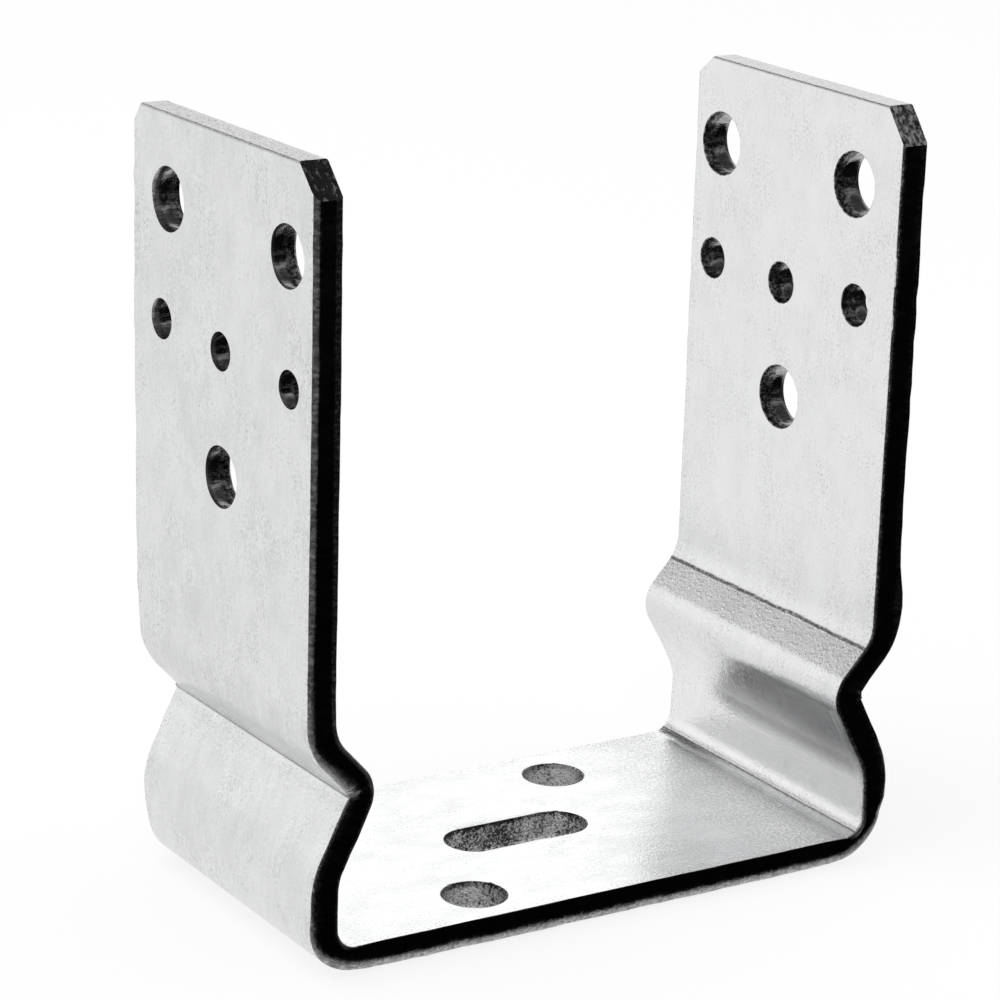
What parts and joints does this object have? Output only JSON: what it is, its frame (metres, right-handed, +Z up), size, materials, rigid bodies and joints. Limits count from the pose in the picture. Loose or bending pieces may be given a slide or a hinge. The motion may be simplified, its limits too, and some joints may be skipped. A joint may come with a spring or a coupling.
{
  "type": "joist hanger",
  "caption": "U-shaped bracket folded from one thick steel strip, with a pinched waist over its base, cut top corners, bolt and screw holes in both flanges and a slotted base.",
  "frame": {"origin": "centre of the bounding box at the underside of the base", "axes": "+Z up along the flanges, +X across the gap from one flange to the other, +Y along the strip's width"},
  "size_m": [0.118, 0.06, 0.1345],
  "materials": {
    "zinc_steel": "satin zinc coated, fine grain along the flanges"
  },
  "bodies": {
    "root": {"joist_hanger_strip": "zinc_steel"}
  },
  "joints": []
}
